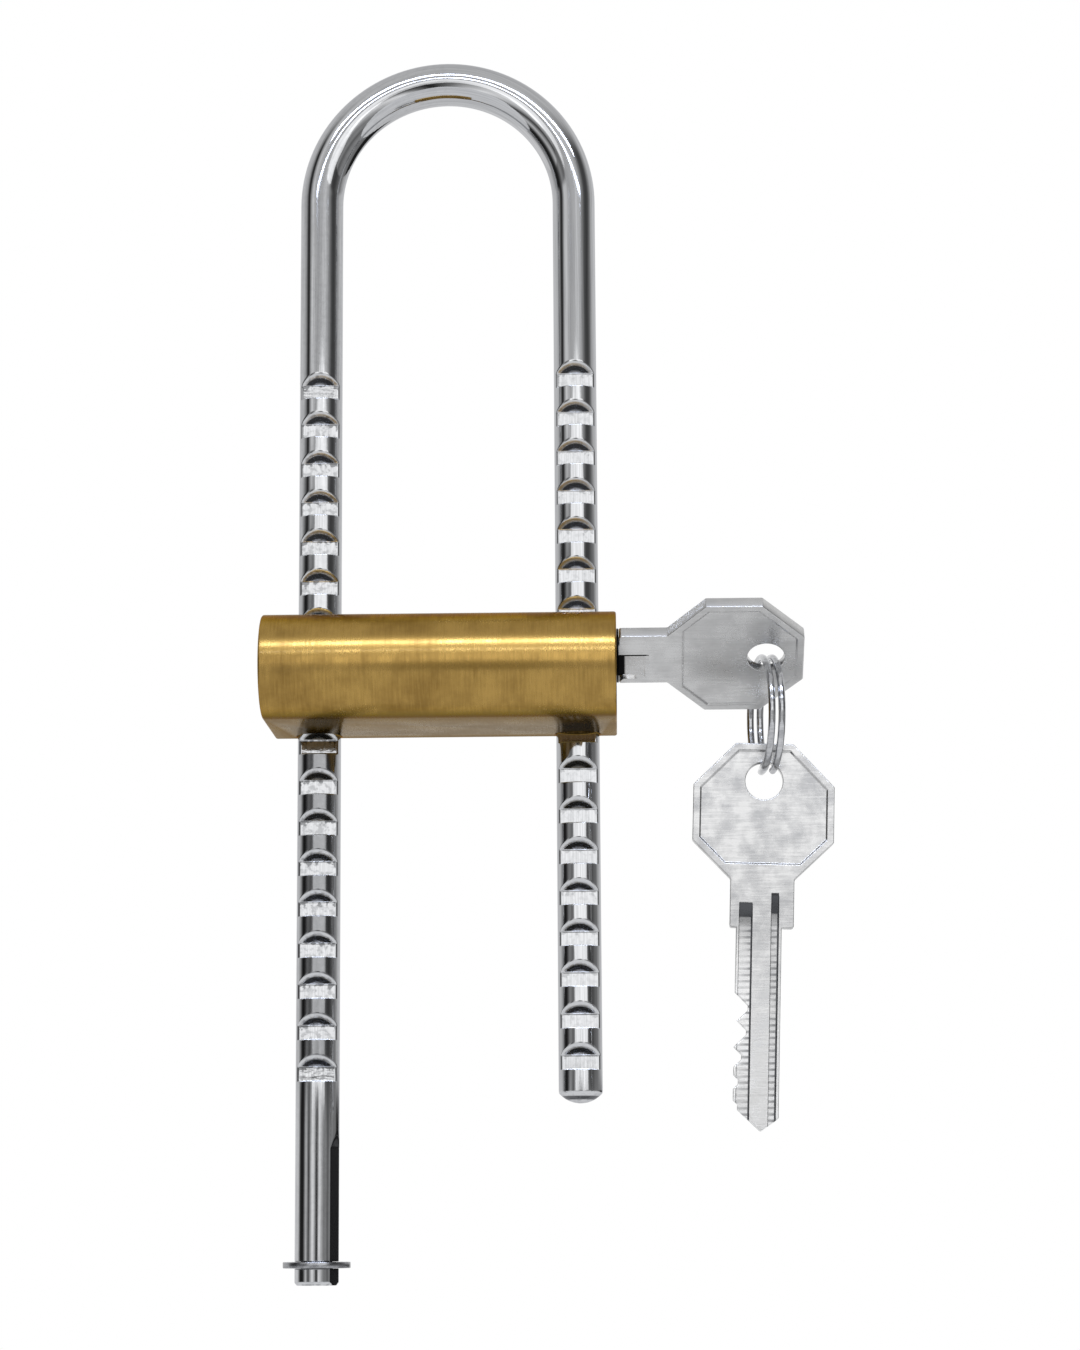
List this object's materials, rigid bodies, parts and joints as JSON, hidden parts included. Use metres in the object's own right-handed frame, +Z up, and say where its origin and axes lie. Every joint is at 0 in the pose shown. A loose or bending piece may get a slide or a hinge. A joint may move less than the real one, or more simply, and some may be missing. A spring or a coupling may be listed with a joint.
{
  "type": "adjustable long shackle padlock",
  "caption": "Padlock whose brass body slides along a long ratchet shackle and locks in its notches, with a turned key and a spare key on a split ring.",
  "frame": {"origin": "inner crown of the shackle's bow, in the plane of its legs", "axes": "+Z up along the legs, +X from the long leg to the short leg, -Y the front, on the keyway's side"},
  "size_m": [0.0918, 0.0382, 0.2065],
  "materials": {
    "shackle_chrome": "bright plated",
    "clip_steel": "dark spring steel",
    "body_brass": "brushed around the bar",
    "cap_brass": "machined",
    "plug_brass": "turned",
    "pin_brass": "turned",
    "pin_steel": "ground",
    "bar_steel": "hardened",
    "spring_steel": "drawn wire",
    "key_nickel": "satin nickel",
    "spare_key_nickel": "satin nickel",
    "ring_steel": "bright wire"
  },
  "bodies": {
    "shackle": {"shackle": "shackle_chrome"},
    "clip": {"retaining_clip": "clip_steel"},
    "lock": {"lock_body": "body_brass", "end_cap": "cap_brass", "plug_retainer": "pin_steel", "bar_spring_right": "spring_steel", "bar_spring_left": "spring_steel", "driver_pin_1": "pin_brass", "pin_spring_1": "spring_steel", "chamber_plug_1": "plug_brass", "driver_pin_2": "pin_brass", "pin_spring_2": "spring_steel", "chamber_plug_2": "plug_brass", "driver_pin_3": "pin_brass", "pin_spring_3": "spring_steel", "chamber_plug_3": "plug_brass", "driver_pin_4": "pin_brass", "pin_spring_4": "spring_steel", "chamber_plug_4": "plug_brass", "driver_pin_5": "pin_brass", "pin_spring_5": "spring_steel", "chamber_plug_5": "plug_brass"},
    "plug": {"plug": "plug_brass", "drive_pin": "pin_steel", "key": "key_nickel", "key_pin_1": "pin_brass", "key_pin_2": "pin_brass", "key_pin_3": "pin_brass", "key_pin_4": "pin_brass", "key_pin_5": "pin_brass"},
    "bar": {"locking_bar": "bar_steel", "bolt_right": "bar_steel", "bolt_left": "bar_steel"},
    "ring": {"split_ring": "ring_steel"},
    "spare": {"spare_key": "spare_key_nickel"}
  },
  "joints": [
    {"name": "body_slide", "type": "slide", "parent": "shackle", "child": "lock", "axis": [0, 0, 1], "range_m": [-0.0857, 0.0538]},
    {"name": "plug_turn", "type": "hinge", "parent": "lock", "child": "plug", "pos_m": [0, -0.019, -0.0997], "axis": [1, 0, 0], "range_deg": [-53, 37]},
    {"name": "bar_slide", "type": "slide", "parent": "lock", "child": "bar", "axis": [0, 1, 0], "range_m": [-0.00235, 0.00165], "deforming": ["bar_spring_right", "bar_spring_left"]},
    {"name": "ring_swing", "type": "hinge", "parent": "plug", "child": "ring", "pos_m": [0.052, -0.01598, -0.1006], "axis": [0.989, 0.1478, 0], "range_deg": [-7, 22]},
    {"name": "spare_key_swing", "type": "hinge", "parent": "ring", "child": "spare", "pos_m": [0.052, -0.01598, -0.1183], "axis": [0, 1, 0], "range_deg": [-25, 14]},
    {"name": "clip_turn", "type": "hinge", "parent": "shackle", "child": "clip", "pos_m": [-0.0215, 0, -0.1961], "axis": [0, 0, 1], "continuous": true}
  ],
  "couplings": [
    {"joint": "bar_slide", "follows": "plug_turn", "m_per_rad": 0.00252}
  ]
}
